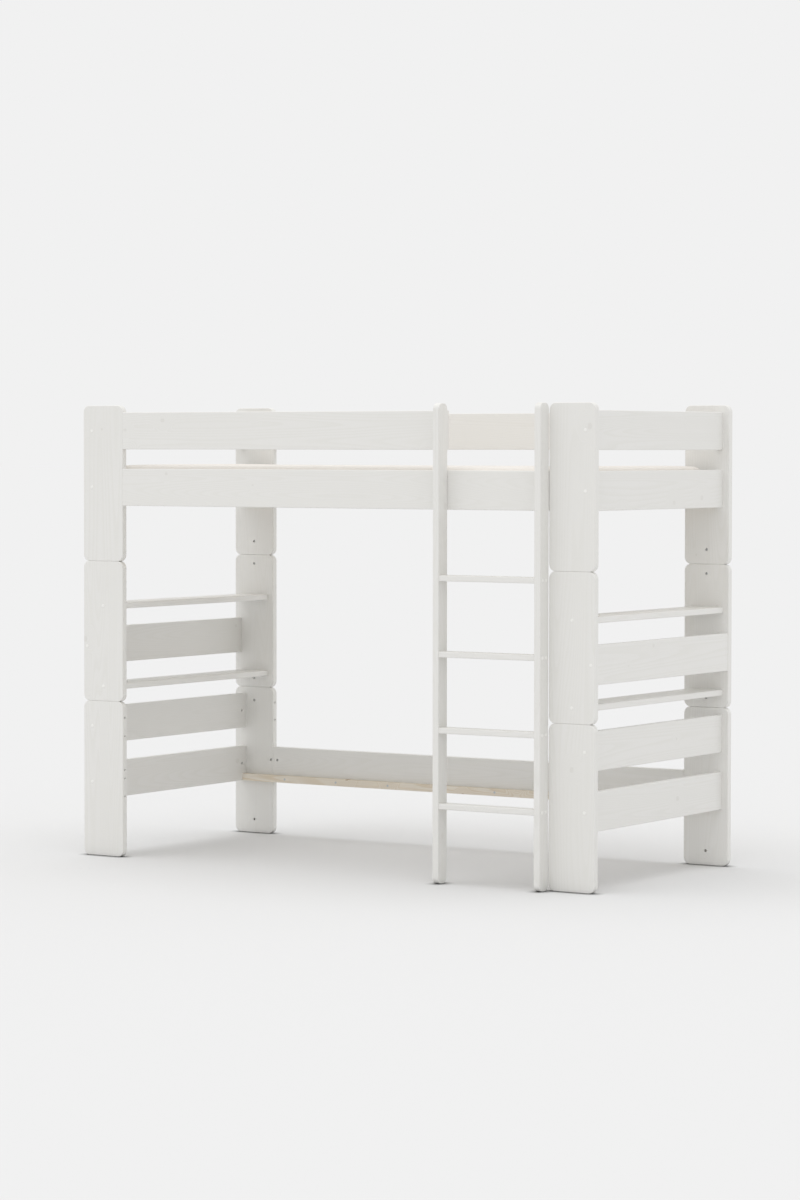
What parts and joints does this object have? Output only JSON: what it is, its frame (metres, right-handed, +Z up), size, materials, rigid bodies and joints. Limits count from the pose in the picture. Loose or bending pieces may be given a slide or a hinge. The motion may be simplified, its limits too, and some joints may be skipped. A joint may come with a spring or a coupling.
{
  "type": "loft bed",
  "caption": "Loft bed of flat pine boards: sectioned corner posts, guard rails, a fixed ladder at the front, narrow end shelves and open space under the mattress.",
  "frame": {"origin": "on the floor, under the middle of the bounding box", "axes": "+X along the bed towards the ladder end, +Y from the ladder side to the wall side, +Z up"},
  "size_m": [2.15, 1.033, 1.64],
  "materials": {
    "white_pine": "pine under thin white semi-transparent lacquer, satin",
    "raw_pine": "planed bare pine, matt",
    "dowel_beech": "fluted beech, matt",
    "mattress_cover": "soft woven cream cover",
    "webbing": "woven cotton tape",
    "zinc_steel": "bright zinc plate",
    "white_cap": "moulded, satin"
  },
  "bodies": {
    "root": {"back_bed_batten": "raw_pine", "back_bed_rail": "white_pine", "back_guard_rail": "white_pine", "back_low_batten": "raw_pine", "back_low_rail": "white_pine", "barrel_nuts": "zinc_steel", "batten_screws": "zinc_steel", "bolt_caps": "white_cap", "end_rail_bolts": "zinc_steel", "front_bed_batten": "raw_pine", "front_bed_rail": "white_pine", "front_guard_rail": "white_pine", "ladder_rung_1": "white_pine", "ladder_rung_2": "white_pine", "ladder_rung_3": "white_pine", "ladder_rung_4": "white_pine", "ladder_screws": "zinc_steel", "ladder_stile_left": "white_pine", "ladder_stile_right": "white_pine", "left_bed_rail": "white_pine", "left_guard_rail": "white_pine", "left_low_lower_rail": "white_pine", "left_low_upper_rail": "white_pine", "left_lower_shelf": "white_pine", "left_middle_rail": "white_pine", "left_upper_shelf": "white_pine", "long_rail_dowels": "dowel_beech", "long_rail_rods": "zinc_steel", "mattress": "mattress_cover", "middle_rail_screws": "zinc_steel", "post_back_left_lower": "white_pine", "post_back_left_middle": "white_pine", "post_back_left_upper": "white_pine", "post_back_right_lower": "white_pine", "post_back_right_middle": "white_pine", "post_back_right_upper": "white_pine", "post_front_left_lower": "white_pine", "post_front_left_middle": "white_pine", "post_front_left_upper": "white_pine", "post_front_right_lower": "white_pine", "post_front_right_middle": "white_pine", "post_front_right_upper": "white_pine", "post_joint_dowels": "dowel_beech", "post_joint_rods": "zinc_steel", "right_bed_rail": "white_pine", "right_guard_rail": "white_pine", "right_low_lower_rail": "white_pine", "right_low_upper_rail": "white_pine", "right_lower_shelf": "white_pine", "right_middle_rail": "white_pine", "right_upper_shelf": "white_pine", "rung_screw_caps": "white_cap", "rung_screws": "zinc_steel", "shelf_bolts": "zinc_steel", "slat_band_back": "webbing", "slat_band_front": "webbing", "slats": "raw_pine"}
  },
  "joints": []
}
